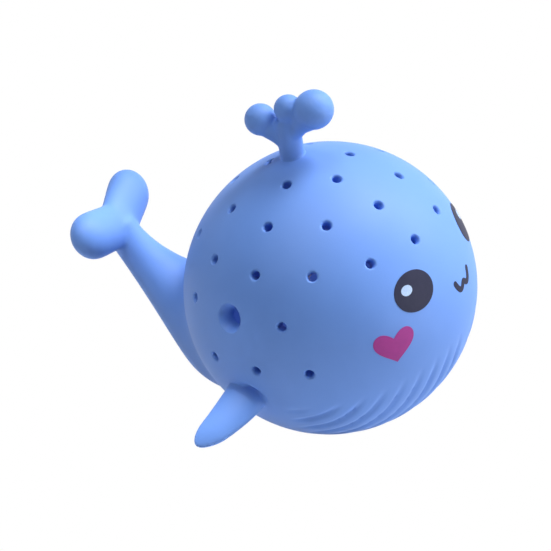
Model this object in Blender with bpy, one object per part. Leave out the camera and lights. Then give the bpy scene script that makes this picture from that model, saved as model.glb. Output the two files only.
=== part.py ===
"""Squishy whale: a hollow soft rubber figure with vents, flippers, a tail and a spout.

Everything is modelled in the whale's own frame, in metres: the body's centre at zero, its face towards -Y,
its left side towards +X and its crown towards +Z. One empty tips the nose up and stands the belly on z = 0.
Places on the body are a latitude above its middle and a longitude from the face to the right, in degrees.
"""

import math

import bmesh
import bpy
from mathutils import Matrix, Vector

# Body
BODY_WIDTH = 0.0665
BODY_LENGTH = 0.0650
BODY_HEIGHT = 0.0645
WALL = 0.0035
NOSE_UP = 9.4
BELLY_FLAT_WIDTH = 0.0210
CROWN_RISE = 0.0018
CROWN_SPREAD = 0.0085
GAP = 0.0003

# Vents: each ring's latitude, its number of places, and the longitudes between which the places are pierced
VENT_WIDTH = 0.0021
VENT_RINGS = (
    (72.4, 5, 0.0, 180.0),
    (54.5, 9, 0.0, 180.0),
    (35.6, 13, 0.0, 180.0),
    (17.3, 15, 80.0, 180.0),
    (-2.0, 17, 70.0, 130.0),
)
SHOULDER_VENT_PLACE = (-22.8, 120.0)
FLANK_HOLE_WIDTH = 0.0056
FLANK_HOLE_RING = 3
FLANK_HOLE_PLACE = 4

# Throat pleats
PLEAT_SPACING = 0.0033
PLEATS_A_SIDE = 9
PLEAT_WIDTH = 0.0018
PLEAT_DEPTH = 0.0007
PLEAT_TOP = 0.0055
PLEAT_TOP_FALL = 0.0065
PLEAT_BACK = 0.0033

# Printed films
FILM = 0.0004
EYE_WIDTH = 0.0096
EYE_PLACE = (19.6, 28.2)
GLINT_WIDTH = 0.0028
GLINT_PLACE = (21.1, 30.9)
HEART_WIDTH = 0.0096
HEART_HEIGHT = 0.0076
HEART_BLUNTNESS = 2.2
HEART_PLACE = (2.2, 42.4)
MOUTH_LINE = 0.0013
MOUTH_LATITUDE = 6.7
MOUTH_HALF_ANGLE = 6.9
MOUTH_RISE = 4.2
MOUTH_PEAK_ROUNDING = 0.16
MOUTH_PROUD = 0.0002

# Tail
TAIL_LATITUDE = -15.8
TAIL_ROOT_LENGTH = 0.0119
TAIL_STOCK_LENGTH = 0.0170
TAIL_ROOT_RADIUS = 0.0107
TAIL_TIP_RADIUS = 0.00385
TAIL_TAPER = 2.17
TAIL_FLARE_RADIUS = 0.0130
TAIL_FLARE_BLEND = 12
TAIL_SPREAD = 0.0026
TAIL_SPREAD_TAPER = 1.8
TAIL_ROOT_DEPTH = 0.0190
TAIL_ROOT_CLOSING = 0.5
TAIL_RISE_START = 31.0
TAIL_RISE_END = 62.5
TAIL_RIM_ANGLE = 65.0

# Flukes
FLUKE_REACH = 0.0160
FLUKE_LEAN = 17.0
FLUKE_WIDTH = 0.0110
FLUKE_NECK = 0.0106
FLUKE_THICKNESS = 0.0080

# Flippers
FLIPPER_PLACE = (-17.6, 107.0)
FLIPPER_REACH = 0.0140
FLIPPER_SWEEP = 0.0046
FLIPPER_DROOP = 0.0025
FLIPPER_TWIST = 20.0
FLIPPER_ROOT_WIDTH = 0.0094
FLIPPER_ROOT_THICKNESS = 0.0050
FLIPPER_TIP_WIDTH = 0.0052
FLIPPER_TIP_THICKNESS = 0.0026
FLIPPER_LIFT = 0.0005

# Spout: each lobe ends in a knob ahead of the hinge and above it, on a neck that leaves the stem's axis
SPOUT_LATITUDE = 83.4
SPOUT_LIFT = 0.0006
SPOUT_ROOT_WIDTH = 0.0058
STEM_WIDTH = 0.0055
STEM_HEIGHT = 0.0070
LOBE_NECK_WIDTH = 0.0047
FRONT_KNOB_AHEAD = 0.00685
FRONT_KNOB_HEIGHT = 0.0108
FRONT_KNOB_WIDTH = 0.0088
FRONT_NECK_HEIGHT = 0.0042
MIDDLE_KNOB_AHEAD = 0.0008
MIDDLE_KNOB_HEIGHT = 0.0106
MIDDLE_KNOB_WIDTH = 0.0063
MIDDLE_NECK_HEIGHT = 0.0042
BACK_KNOB_AHEAD = -0.00625
BACK_KNOB_HEIGHT = 0.0075
BACK_KNOB_WIDTH = 0.0071
BACK_NECK_HEIGHT = 0.0024

# Fineness of the meshes
BODY_SEGMENTS = 48
HOLLOW_SEGMENTS = 24
VENT_SIDES = 8
LOFT_SIDES = 16

SIDEWAYS, FORWARD, UPWARD = Vector((1, 0, 0)), Vector((0, -1, 0)), Vector((0, 0, 1))
SIDES = (("right", 1), ("left", -1))
HALF = Vector((BODY_WIDTH, BODY_LENGTH, BODY_HEIGHT)) / 2
BELLY_DROP = HALF.z * math.sqrt(1 - (BELLY_FLAT_WIDTH / BODY_LENGTH) ** 2)
THROUGH = 4 * WALL
LOBES = (
    ("front", FRONT_KNOB_AHEAD, FRONT_KNOB_HEIGHT, FRONT_KNOB_WIDTH, FRONT_NECK_HEIGHT),
    ("middle", MIDDLE_KNOB_AHEAD, MIDDLE_KNOB_HEIGHT, MIDDLE_KNOB_WIDTH, MIDDLE_NECK_HEIGHT),
    ("back", BACK_KNOB_AHEAD, BACK_KNOB_HEIGHT, BACK_KNOB_WIDTH, BACK_NECK_HEIGHT),
)

for old in list(bpy.data.objects):
    bpy.data.objects.remove(old, do_unlink=True)

parts = bpy.data.collections.new("squishy_whale")
cutters = bpy.data.collections.new("squishy_whale_cutters")
bpy.context.scene.collection.children.link(parts)
bpy.context.scene.collection.children.link(cutters)


def material(name, colour, roughness):
    made = bpy.data.materials.new(name)
    made.use_nodes = True
    shader = made.node_tree.nodes["Principled BSDF"]
    shader.inputs["Base Color"].default_value = (*colour, 1.0)
    shader.inputs["Roughness"].default_value = roughness
    shader.inputs["Metallic"].default_value = 0.0
    return made


blue_rubber = material("soft_blue_rubber", (0.16, 0.30, 0.78), 0.55)
dark_ink = material("dark_ink", (0.05, 0.05, 0.09), 0.6)
pale_ink = material("pale_ink", (0.62, 0.76, 0.95), 0.6)
pink_ink = material("pink_ink", (0.50, 0.05, 0.25), 0.6)


def empty(name, parent, location):
    made = bpy.data.objects.new(name, None)
    made.parent = parent
    made.location = location
    parts.objects.link(made)
    return made


whale = empty("whale", None, (0, 0, BELLY_DROP))
whale.rotation_euler.x = -math.radians(NOSE_UP)


def add_object(name, mesh, parent, finish=None, matrix=None):
    """Puts a mesh in the scene under its parent: a part if it has a finish, otherwise a hidden cutter."""
    made = bpy.data.objects.new(name, mesh)
    made.parent = parent
    if matrix is not None:
        made.matrix_local = matrix
    if finish is None:
        cutters.objects.link(made)
        made.hide_render = True
        made.display_type = "WIRE"
    else:
        parts.objects.link(made)
        mesh.materials.append(finish)
        mesh.shade_smooth()
        mesh.set_sharp_from_angle(angle=math.radians(40))
    return made


def boolean(target, operation, tool, folded=False):
    """Adds a Boolean step: a folded tool is one that may run into itself in a tight bend."""
    step = target.modifiers.new(f"{operation.lower()}_{tool.name}", "BOOLEAN")
    step.operation = operation
    step.object = tool
    step.solver = "MANIFOLD" if folded else "EXACT"


def frame_of(across, through, along, centre):
    """A placing matrix from three axes and a point."""
    frame = Matrix((across, through, along)).transposed().to_4x4()
    frame.translation = centre
    return frame


def body_normal(point):
    return Vector(point[i] / HALF[i] ** 2 for i in range(3)).normalized()


def on_body(latitude, longitude, lift=0.0):
    """A point of the body's surface, lifted along the normal there."""
    up, turn = math.radians(latitude), math.radians(longitude)
    ray = Vector((-math.cos(up) * math.sin(turn), -math.cos(up) * math.cos(turn), math.sin(up)))
    point = ray / math.sqrt(sum((ray[i] / HALF[i]) ** 2 for i in range(3)))
    return point + body_normal(point) * lift


def seat_frame(latitude, longitude, lift=0.0):
    """A frame on the body: Z along the normal, Y towards the crown and X along the ring."""
    point = on_body(latitude, longitude, lift)
    normal = body_normal(on_body(latitude, longitude))
    side = UPWARD.cross(normal).normalized()
    return frame_of(side, normal.cross(side), normal, point)


def round_mesh(name, half_axes, segments):
    mesh = bpy.data.meshes.new(name)
    bm = bmesh.new()
    bmesh.ops.create_uvsphere(bm, u_segments=segments, v_segments=segments // 2, radius=1.0)
    bmesh.ops.scale(bm, vec=half_axes, verts=bm.verts)
    bm.to_mesh(mesh)
    bm.free()
    return mesh


def body_blank(name, offset, segments, finish=None):
    """The plain body with its crown swollen under the spout, grown by an offset."""
    mesh = round_mesh(name, HALF + Vector((offset,) * 3), segments)
    crown = on_body(SPOUT_LATITUDE, 180.0)
    for vert in mesh.vertices:
        if vert.co.z > 0:
            away = (vert.co - crown).to_2d().length
            vert.co.z += CROWN_RISE * math.exp(-((away / CROWN_SPREAD) ** 2))
    return add_object(name, mesh, whale, finish)


def egg(name, half_axes, frame):
    """A round cutter, longer along its own axes."""
    return add_object(name, round_mesh(name, half_axes, BODY_SEGMENTS // 2), whale, matrix=frame)


def block(name, size, parent, frame):
    mesh = bpy.data.meshes.new(name)
    bm = bmesh.new()
    bmesh.ops.create_cube(bm, size=size)
    bm.to_mesh(mesh)
    bm.free()
    return add_object(name, mesh, parent, matrix=frame)


def mesh_of_curve(curve, name):
    """A curve's solid as a closed mesh."""
    guide = bpy.data.objects.new(name, curve)
    cutters.objects.link(guide)
    bpy.context.view_layer.update()
    mesh = bpy.data.meshes.new_from_object(guide.evaluated_get(bpy.context.evaluated_depsgraph_get()))
    mesh.name = name
    bpy.data.objects.remove(guide)
    bm = bmesh.new()
    bm.from_mesh(mesh)
    bmesh.ops.remove_doubles(bm, verts=bm.verts, dist=1e-6)
    bmesh.ops.recalc_face_normals(bm, faces=bm.faces)
    bm.to_mesh(mesh)
    bm.free()
    return mesh


def tube(name, points, radii, finish=None):
    """A round line through the points, with its own radius at each."""
    curve = bpy.data.curves.new(name, "CURVE")
    curve.dimensions = "3D"
    curve.bevel_depth = 1.0
    curve.bevel_resolution = 1
    curve.use_fill_caps = True
    line = curve.splines.new("POLY")
    line.points.add(len(points) - 1)
    for spot, point, radius in zip(line.points, points, radii):
        spot.co = (*point, 1.0)
        spot.radius = radius
    return add_object(name, mesh_of_curve(curve, name), whale, finish)


def prism(name, outline, frame, finish=None):
    """A flat outline pulled through the skin along a seat's normal."""
    curve = bpy.data.curves.new(name, "CURVE")
    curve.dimensions = "2D"
    curve.fill_mode = "BOTH"
    curve.extrude = THROUGH / 2
    line = curve.splines.new("POLY")
    line.points.add(len(outline) - 1)
    for spot, point in zip(line.points, outline):
        spot.co = (*point, 0.0, 1.0)
    line.use_cyclic_u = True
    return add_object(name, mesh_of_curve(curve, name), whale, finish, frame)


def loft(name, stations, parent, finish=None):
    """A closed soft form through oval sections, each a centre and two half-axes, in the parent's frame."""
    bm = bmesh.new()
    rings = []
    for centre, across, through in stations:
        ring = bmesh.ops.create_circle(bm, segments=LOFT_SIDES, radius=1.0)["verts"]
        frame = frame_of(across, through, across.cross(through).normalized(), centre)
        bmesh.ops.transform(bm, matrix=frame, verts=ring)
        rings.append(ring)
    hoops = [list({edge for vert in ring for edge in vert.link_edges}) for ring in rings]
    for lower, upper in zip(hoops, hoops[1:]):
        bmesh.ops.bridge_loops(bm, edges=lower + upper)
    for ring in (rings[0], rings[-1]):
        bmesh.ops.contextual_create(bm, geom=ring)
    bmesh.ops.recalc_face_normals(bm, faces=bm.faces)
    mesh = bpy.data.meshes.new(name)
    bm.to_mesh(mesh)
    bm.free()
    return add_object(name, mesh, parent, finish)


def sleeve(name, stations, parent):
    """A cutter that clears a lofted form by the gap."""
    grown = [(c, a * (1 + GAP / a.length), t * (1 + GAP / t.length)) for c, a, t in stations]
    along = (stations[-1][0] - stations[-2][0]).normalized()
    grown[-1] = (grown[-1][0] + along * GAP, grown[-1][1], grown[-1][2])
    return loft(name, grown, parent)


def egg_stations(centre, across, through, along, first, last, steps):
    """Sections of an egg along an axis, between two angles counted from its near end."""
    found = []
    for i in range(steps + 1):
        angle = math.radians(first + (last - first) * i / steps)
        found.append((centre - along * math.cos(angle), across * math.sin(angle), through * math.sin(angle)))
    return found


def smooth(share):
    share = min(1.0, max(0.0, share))
    return share * share * (3 - 2 * share)


def rounded_end(share, start):
    """How far a form has closed in towards its round end, which begins at a share of its length."""
    return math.sqrt(1 - max(0.0, (share - start) / (1 - start)) ** 2)


def vent_places():
    """Where the skin is pierced, and how wide."""
    found = [(SHOULDER_VENT_PLACE[0], side * SHOULDER_VENT_PLACE[1], VENT_WIDTH) for _, side in SIDES]
    for ring, (latitude, count, first, last) in enumerate(VENT_RINGS):
        for i in range(count):
            longitude = (360 / count * (i + 0.5) + 180) % 360 - 180
            flank_hole = (ring, i) == (FLANK_HOLE_RING, FLANK_HOLE_PLACE)
            if first <= abs(longitude) <= last:
                found.append((latitude, longitude, FLANK_HOLE_WIDTH if flank_hole else VENT_WIDTH))
    return found


def shell():
    """The hollow body with its vents, its flank hole and its flat belly."""
    made = body_blank("body_shell", 0.0, BODY_SEGMENTS, blue_rubber)
    boolean(made, "DIFFERENCE", body_blank("hollow", -WALL, HOLLOW_SEGMENTS))
    bm = bmesh.new()
    for latitude, longitude, width in vent_places():
        bmesh.ops.create_cone(
            bm,
            cap_ends=True,
            segments=VENT_SIDES if width == VENT_WIDTH else 2 * VENT_SIDES,
            radius1=width / 2,
            radius2=width / 2,
            depth=THROUGH,
            matrix=seat_frame(latitude, longitude),
        )
    mesh = bpy.data.meshes.new("vents")
    bm.to_mesh(mesh)
    bm.free()
    boolean(made, "DIFFERENCE", add_object("vents", mesh, whale))
    deep = 2 * max(HALF) + WALL
    boolean(made, "DIFFERENCE", block("ground", deep, None, Matrix.Translation((0, 0, -deep / 2))))
    return made


def pleats(made):
    """Grooves under the chin, each in a plane along the body, which thin out at both ends."""
    steps = 8
    for word, side in SIDES:
        for i in range(PLEATS_A_SIDE):
            away = PLEAT_SPACING * (i + 0.5)
            share = math.sqrt(1 - (away / HALF.x) ** 2)
            long, tall = HALF.y * share, HALF.z * share
            first = math.asin((PLEAT_TOP + PLEAT_TOP_FALL * (away / HALF.x) ** 2) / tall)
            last = math.acos(PLEAT_BACK / long)
            points, radii = [], []
            for k in range(steps + 1):
                angle = first + (last - first) * k / steps
                fade = math.sqrt(math.sin(math.pi * (k + 0.75) / (steps + 1.5)))
                point = Vector((-side * away, -long * math.cos(angle), -tall * math.sin(angle)))
                points.append(point + body_normal(point) * fade * (PLEAT_WIDTH / 2 - PLEAT_DEPTH))
                radii.append(PLEAT_WIDTH / 2 * fade)
            boolean(made, "DIFFERENCE", tube(f"{word}_pleat_{i}", points, radii))


def disc(width, sides=24):
    turns = [2 * math.pi * i / sides for i in range(sides)]
    return [(width / 2 * math.cos(turn), width / 2 * math.sin(turn)) for turn in turns]


def heart(width, height, count=28):
    """The usual heart curve, which is 29 units high, made blunter."""
    found = []
    for i in range(count):
        turn = 2 * math.pi * i / count
        level = 13 * math.cos(turn) - 5 * math.cos(2 * turn) - 2 * math.cos(3 * turn) - math.cos(4 * turn)
        aside = math.copysign(abs(math.sin(turn)) ** HEART_BLUNTNESS, math.sin(turn))
        found.append((aside * width / 2, (level + 2.5) / 29 * height))
    return found


def film(name, outline, frame, finish, face, back):
    """A printed film: the slice of the body's surface inside an outline."""
    made = prism(name, outline, frame, finish)
    boolean(made, "INTERSECT", face)
    boolean(made, "DIFFERENCE", back)
    return made


def prints(made):
    """Eyes, glints, hearts and mouth, each film in a pocket of the skin."""
    face = body_blank("print_face", 0.0, BODY_SEGMENTS)
    back = body_blank("print_back", -FILM, BODY_SEGMENTS)
    floor = body_blank("pocket_floor", -FILM - GAP, BODY_SEGMENTS)
    for word, side in SIDES:
        eye_frame = seat_frame(EYE_PLACE[0], side * EYE_PLACE[1])
        glint_frame = seat_frame(GLINT_PLACE[0], side * GLINT_PLACE[1])
        heart_frame = seat_frame(HEART_PLACE[0], side * HEART_PLACE[1])
        eye = film(f"{word}_eye", disc(EYE_WIDTH), eye_frame, dark_ink, face, back)
        film(f"{word}_eye_glint", disc(GLINT_WIDTH, 16), glint_frame, pale_ink, face, back)
        film(f"{word}_heart", heart(HEART_WIDTH, HEART_HEIGHT), heart_frame, pink_ink, face, back)
        window = prism(f"{word}_eye_window", disc(GLINT_WIDTH + 2 * GAP, 16), glint_frame)
        boolean(eye, "DIFFERENCE", window)
        wide, high = HEART_WIDTH + 3 * GAP, HEART_HEIGHT + 3 * GAP
        for pocket in (
            prism(f"{word}_eye_pocket", disc(EYE_WIDTH + 2 * GAP), eye_frame),
            prism(f"{word}_heart_pocket", heart(wide, high), heart_frame),
        ):
            boolean(pocket, "DIFFERENCE", floor)
            boolean(made, "DIFFERENCE", pocket)
    mouth(made)


def mouth(made):
    """The printed mouth: one line of two scallops, lying in a groove."""
    steps = 16
    points = []
    for i in range(steps + 1):
        share = 2 * i / steps - 1
        away = math.hypot(share, MOUTH_PEAK_ROUNDING)
        latitude = MOUTH_LATITUDE + MOUTH_RISE * (2 * away - 1) ** 2
        points.append(on_body(latitude, MOUTH_HALF_ANGLE * share, MOUTH_PROUD - MOUTH_LINE / 2))
    tube("mouth", points, [MOUTH_LINE / 2] * len(points), dark_ink)
    first = points[0] + (points[0] - points[1]).normalized() * GAP
    last = points[-1] + (points[-1] - points[-2]).normalized() * GAP
    groove = tube("mouth_groove", [first, *points[1:-1], last], [MOUTH_LINE / 2 + GAP] * len(points))
    boolean(made, "DIFFERENCE", groove, folded=True)


def tail_point(distance):
    """The tail's centre line, direction, half width and half height, at a distance from the body."""
    total = TAIL_ROOT_LENGTH + TAIL_STOCK_LENGTH
    bend = math.radians(TAIL_RISE_END - TAIL_RISE_START) / total
    first = math.radians(TAIL_RISE_START)
    rise = first + bend * distance
    arc = Vector((0, math.sin(rise) - math.sin(first), math.cos(first) - math.cos(rise))) / bend
    along = Vector((0, math.cos(rise), math.sin(rise)))
    left_over = max(0.0, 1 - distance / total)
    radius = TAIL_TIP_RADIUS + (TAIL_ROOT_RADIUS - TAIL_TIP_RADIUS) * left_over**TAIL_TAPER
    radius /= (1 + (radius / TAIL_FLARE_RADIUS) ** TAIL_FLARE_BLEND) ** (1 / TAIL_FLARE_BLEND)
    buried = 1 + distance / TAIL_ROOT_DEPTH
    radius *= 1 - TAIL_ROOT_CLOSING * (1 - smooth(3 * buried))
    spread = TAIL_SPREAD * left_over**TAIL_SPREAD_TAPER * smooth(2 * buried)
    return on_body(TAIL_LATITUDE, 180.0) + arc, along, radius + spread, radius


def tail_stations(first, last, steps, origin):
    found = []
    for i in range(steps + 1):
        point, along, wide, radius = tail_point(first + (last - first) * i / steps)
        found.append((point - origin, SIDEWAYS * wide, along.cross(SIDEWAYS) * radius))
    return found


def tail():
    """A flared root on the body, with a dished end in which the round foot of the bending stock turns."""
    joint, along, joint_wide, joint_radius = tail_point(TAIL_ROOT_LENGTH)
    rim = TAIL_ROOT_LENGTH - joint_radius * math.cos(math.radians(TAIL_RIM_ANGLE))
    root = loft("tail_root", tail_stations(-TAIL_ROOT_DEPTH, rim, 14, Vector()), whale, blue_rubber)
    boolean(root, "DIFFERENCE", body_blank("body_skin", GAP, BODY_SEGMENTS))
    seat_axes = (joint_wide + GAP, joint_radius + GAP, joint_radius + GAP)
    boolean(root, "DIFFERENCE", egg("tail_seat", seat_axes, Matrix.Translation(joint)))

    hinge = empty("tail_hinge", whale, joint)
    upright = along.cross(SIDEWAYS)
    foot_axes = (SIDEWAYS * joint_wide, upright * joint_radius, along * joint_radius)
    tip, tip_along, _, tip_radius = tail_point(TAIL_ROOT_LENGTH + TAIL_STOCK_LENGTH)
    tip_axes = (SIDEWAYS * tip_radius, tip_along.cross(SIDEWAYS) * tip_radius, tip_along * tip_radius)
    stations = egg_stations(Vector(), *foot_axes, 12, 84, 6)
    stations += tail_stations(TAIL_ROOT_LENGTH, TAIL_ROOT_LENGTH + TAIL_STOCK_LENGTH, 7, joint)
    stations += egg_stations(tip - joint, *tip_axes, 110, 165, 3)
    loft("tail_stock", stations, hinge, blue_rubber)
    flukes(hinge, tip - joint, tip_along, sleeve("stock_sleeve", stations, hinge))


def flukes(hinge, start, along, stock_sleeve):
    """Two puffy lobes that leave the tail's end sideways, leaning on along the tail."""
    lean = math.radians(FLUKE_LEAN)
    face = SIDEWAYS.cross(along)
    swollen = 0.62
    for word, side in SIDES:
        out = SIDEWAYS * (-side * math.cos(lean)) + along * math.sin(lean)
        across = face.cross(out)
        stations = []
        for share in (0.0, 0.15, 0.3, 0.45, 0.62, 0.75, 0.86, 0.94, 0.985):
            swell, close = smooth((share - 0.1) / (swollen - 0.1)), rounded_end(share, swollen)
            half_width = (FLUKE_NECK + (FLUKE_WIDTH - FLUKE_NECK) * swell) / 2 * close
            half_depth = FLUKE_THICKNESS * (0.8 + 0.2 * swell) / 2 * close
            stations.append((start + out * FLUKE_REACH * share, across * half_width, face * half_depth))
        made = loft(f"{word}_fluke", stations, hinge, blue_rubber)
        boolean(made, "DIFFERENCE", stock_sleeve)
        beyond = Matrix.Translation(start + SIDEWAYS * side * (FLUKE_REACH - GAP / 2))
        boolean(made, "DIFFERENCE", block(f"{word}_fluke_trim", 2 * FLUKE_REACH, hinge, beyond))


def flippers(made):
    """Soft wings: each has an egg-shaped root in a dished seat, and sweeps back and down to its tip."""
    twist = math.radians(FLIPPER_TWIST)
    half_width, half_depth = FLIPPER_ROOT_WIDTH / 2, FLIPPER_ROOT_THICKNESS / 2
    for word, side in SIDES:
        seat = seat_frame(FLIPPER_PLACE[0], side * FLIPPER_PLACE[1], FLIPPER_LIFT)
        ring_way, up, out = (seat.to_3x3().col[i].copy() for i in range(3))
        back = ring_way * -side
        chord = back * math.cos(twist) + up * math.sin(twist)
        thick = out.cross(chord)
        hinge = empty(f"{word}_flipper_hinge", whale, seat.translation)
        stations = egg_stations(Vector(), chord * half_width, thick * half_depth, out * half_depth, 15, 90, 5)
        for share in (0.14, 0.28, 0.42, 0.56, 0.7, 0.82, 0.91, 0.97, 0.995):
            close = rounded_end(share, 0.7)
            wide = half_width + (FLIPPER_TIP_WIDTH / 2 - half_width) * share**1.4
            deep = half_depth + (FLIPPER_TIP_THICKNESS / 2 - half_depth) * share**0.7
            centre = out * FLIPPER_REACH * share + (back * FLIPPER_SWEEP - up * FLIPPER_DROOP) * share**2
            stations.append((centre, chord * wide * close, thick * deep * close))
        loft(f"{word}_flipper", stations, hinge, blue_rubber)
        half_axes = (half_width + GAP, half_depth + GAP, half_depth + GAP)
        dish = egg(f"{word}_flipper_seat", half_axes, frame_of(chord, thick, out, seat.translation))
        boolean(made, "DIFFERENCE", dish)
        tell(hinge, chord)


def lobe_trim(word, knob, width, other, hinge):
    """A block that takes from a lobe what lies past the plane in which its knob and its neighbour's meet."""
    other_word, ahead, height, other_width, _ = other
    between = FORWARD * ahead + UPWARD * height - knob
    share = 0.5 + (width**2 - other_width**2) / (8 * between.length_squared)
    outward, size = between.normalized(), 4 * STEM_HEIGHT
    centre = knob + between * share + outward * (size - GAP) / 2
    frame = frame_of(SIDEWAYS, outward, SIDEWAYS.cross(outward), centre)
    return block(f"{word}_lobe_trim_{other_word}", size, hinge, frame)


def spout(made):
    """A short post on the crown that carries a fan of three drops, in the plane of the face and the tail."""
    foot = on_body(SPOUT_LATITUDE, 180.0, SPOUT_LIFT) + UPWARD * CROWN_RISE
    hinge = empty("spout_hinge", whale, foot)
    root_radius, stem_radius = SPOUT_ROOT_WIDTH / 2, STEM_WIDTH / 2
    root_axes = (SIDEWAYS * root_radius, UPWARD.cross(SIDEWAYS) * root_radius, UPWARD * root_radius)
    stations = egg_stations(Vector(), *root_axes, 15, 105, 6)
    for share, wide in ((0.45, 1.0), (0.75, 0.95), (0.93, 0.7), (1.0, 0.35)):
        half = stem_radius * wide
        stations.append((UPWARD * STEM_HEIGHT * share, SIDEWAYS * half, UPWARD.cross(SIDEWAYS) * half))
    loft("spout_stem", stations, hinge, blue_rubber)
    stem_sleeve = sleeve("stem_sleeve", stations, hinge)
    for i, (word, ahead, height, width, neck_height) in enumerate(LOBES):
        knob, root = FORWARD * ahead + UPWARD * height, UPWARD * neck_height
        neck, half, reach = LOBE_NECK_WIDTH / 2, width / 2, (knob - root).length
        along = (knob - root).normalized()
        across = along.cross(SIDEWAYS)
        stations = [(root + along * reach * share, SIDEWAYS * neck, across * neck) for share in (0.0, 0.4)]
        stations += egg_stations(knob, SIDEWAYS * half, across * half, along * half, 50, 165, 7)
        lobe = loft(f"spout_{word}_lobe", stations, hinge, blue_rubber)
        boolean(lobe, "DIFFERENCE", stem_sleeve)
        for other in LOBES[max(0, i - 1) : i] + LOBES[i + 1 : i + 2]:
            boolean(lobe, "DIFFERENCE", lobe_trim(word, knob, width, other, hinge))
    boolean(made, "DIFFERENCE", egg("spout_seat", (root_radius + GAP,) * 3, Matrix.Translation(foot)))


def tell(hinge, axis=SIDEWAYS):
    """Prints where a joint lies when the whale stands on its belly."""
    bpy.context.view_layer.update()
    place = hinge.matrix_world.translation
    way = whale.matrix_world.to_3x3() @ axis
    print(hinge.name, [round(value, 5) for value in place], [round(value, 5) for value in way])


body = shell()
pleats(body)
prints(body)
tail()
flippers(body)
spout(body)
tell(bpy.data.objects["tail_hinge"])
tell(bpy.data.objects["spout_hinge"])
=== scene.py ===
# %% [markdown]
# # A squishy whale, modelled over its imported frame
# The frame is the whale's measured model: a hollow rubber ball with a tail, two flippers and a spout,
# and ink prints for its face. Here each of those solids gets the skin that the eye sees, in the same
# place and at nearly the same size.

# %% Load the frame
import math

import bpy
from mathutils import Matrix, Vector


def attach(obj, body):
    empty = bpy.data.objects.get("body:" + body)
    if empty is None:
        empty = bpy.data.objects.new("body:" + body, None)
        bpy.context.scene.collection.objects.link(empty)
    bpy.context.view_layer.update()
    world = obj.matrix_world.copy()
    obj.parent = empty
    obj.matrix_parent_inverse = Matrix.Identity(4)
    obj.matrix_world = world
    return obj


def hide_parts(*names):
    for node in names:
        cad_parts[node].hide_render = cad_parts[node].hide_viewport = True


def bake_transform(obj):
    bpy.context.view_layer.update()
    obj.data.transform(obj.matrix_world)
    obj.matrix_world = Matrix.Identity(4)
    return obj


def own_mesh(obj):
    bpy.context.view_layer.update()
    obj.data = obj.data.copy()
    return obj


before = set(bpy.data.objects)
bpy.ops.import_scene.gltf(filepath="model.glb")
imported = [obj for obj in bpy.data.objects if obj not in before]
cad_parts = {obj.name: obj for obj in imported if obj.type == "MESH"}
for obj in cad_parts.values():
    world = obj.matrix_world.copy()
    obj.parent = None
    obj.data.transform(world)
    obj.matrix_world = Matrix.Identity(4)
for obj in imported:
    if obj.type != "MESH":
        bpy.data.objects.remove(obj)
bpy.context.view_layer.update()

# %% [markdown]
# ## Working by hand
# Every operator acts on what is selected, so a modeller first puts everything down and then picks one
# piece up. These few helpers do that, and press Apply on a piece's modifiers.

# %% Helpers for picking up a piece


def put_down():
    if bpy.context.mode != "OBJECT":
        bpy.ops.object.mode_set(mode="OBJECT")
    bpy.ops.object.select_all(action="DESELECT")


def pick_up(*pieces):
    put_down()
    for piece in pieces:
        piece.select_set(True)
    bpy.context.view_layer.objects.active = pieces[0]


def apply_steps(piece):
    pick_up(piece)
    for step in list(piece.modifiers):
        bpy.ops.object.modifier_apply(modifier=step.name)


def settle(piece):
    """Moves a piece's place into its mesh, so that its object sits at the origin, unturned and unscaled."""
    pick_up(piece)
    bpy.ops.object.transform_apply(location=True, rotation=True, scale=True)


def throw_away(*pieces):
    for piece in pieces:
        bpy.data.objects.remove(piece, do_unlink=True)


def copy_of(piece, name):
    made = piece.copy()
    made.data = piece.data.copy()
    made.name = name
    bpy.context.scene.collection.objects.link(made)
    return made


def cut(piece, operation, tool):
    step = piece.modifiers.new("cut", "BOOLEAN")
    step.operation = operation
    step.solver = "MANIFOLD"
    step.object = tool
    apply_steps(piece)


# %% [markdown]
# ## The whale's own frame
# The body is a slightly squat ball that rests on its belly with the nose tipped up. It is easiest to
# model it level, with its centre at zero and the face towards -Y, and to tip each finished piece.
# Places on the ball are a latitude above its middle and a longitude from the face round to the right
# side, as on a globe.

# %% Places on the ball
BODY_HALF = Vector((0.0665, 0.0650, 0.0645)) / 2
NOSE_UP = math.radians(9.4)
BELLY_DROP = 0.030521
TIPPED = Matrix.Translation((0, 0, BELLY_DROP)) @ Matrix.Rotation(-NOSE_UP, 4, "X")
MM = 0.001
CROWN_RISE, CROWN_SPREAD, CROWN_BACK = 1.8 * MM, 8.5 * MM, 3.7 * MM


def crown_rise(point):
    """How far the skin swells up under the spout, above the plain ball."""
    if point.z < 0:
        return 0.0
    return CROWN_RISE * math.exp(-(point.x**2 + (point.y - CROWN_BACK) ** 2) / CROWN_SPREAD**2)


def skin_normal(point):
    """The way straight out of the skin at a point on it."""
    rise = crown_rise(point)
    up = (point.z - rise) / BODY_HALF.z**2
    slope = 2 * rise / CROWN_SPREAD**2 * up
    ahead = point.y / BODY_HALF.y**2 + slope * (point.y - CROWN_BACK)
    return Vector((point.x / BODY_HALF.x**2 + slope * point.x, ahead, up)).normalized()


def on_skin(latitude, longitude, lift=0.0):
    """The point of the skin at a latitude and longitude in degrees, lifted off it if asked."""
    up, turn = math.radians(latitude), math.radians(longitude)
    ray = Vector((-math.cos(up) * math.sin(turn), -math.cos(up) * math.cos(turn), math.sin(up)))
    point = ray / math.sqrt(sum((ray[i] / BODY_HALF[i]) ** 2 for i in range(3)))
    point.z += crown_rise(point)
    return point + skin_normal(point) * lift


def height_over_skin(point):
    """Roughly how far a point is outside the ball and its crown."""
    low = point - Vector((0, 0, crown_rise(point)))
    return low.length * (1 - 1 / math.sqrt(sum((low[i] / BODY_HALF[i]) ** 2 for i in range(3))))


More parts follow.
